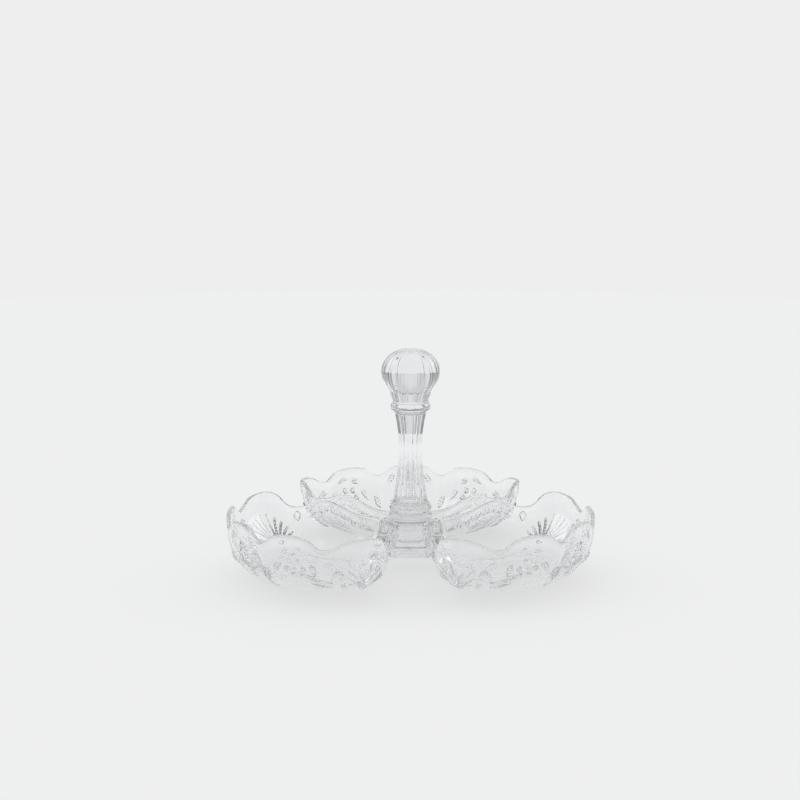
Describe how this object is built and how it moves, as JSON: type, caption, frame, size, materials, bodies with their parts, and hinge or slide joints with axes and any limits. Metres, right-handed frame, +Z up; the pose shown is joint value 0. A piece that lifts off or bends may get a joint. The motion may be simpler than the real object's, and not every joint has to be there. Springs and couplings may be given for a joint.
{
  "type": "chip and dip server",
  "caption": "Clear pressed-glass chip and dip server: scalloped dishes bonded round a solid hub, with an upright fluted handle and ribbed knob.",
  "frame": {"origin": "on the table, under the middle of the object's bounding box; the hub and handle stand upright on an axis 10.9 mm to the -Y side of it", "axes": "+Z up along the handle, +Y towards the back dish, +X towards the right dish"},
  "size_m": [0.2838, 0.2716, 0.1724],
  "materials": {
    "glass": "clear colourless pressed glass, fire-polished, with a faint cool grey tint in the thick parts",
    "adhesive": "thin film of clear UV-cured acrylic adhesive, very slightly yellow"
  },
  "bodies": {
    "root": {"back_dish": "glass", "left_dish": "glass", "right_dish": "glass", "hub": "glass", "handle": "glass", "back_dish_adhesive": "adhesive", "left_dish_adhesive": "adhesive", "right_dish_adhesive": "adhesive", "handle_adhesive": "adhesive"}
  },
  "joints": []
}
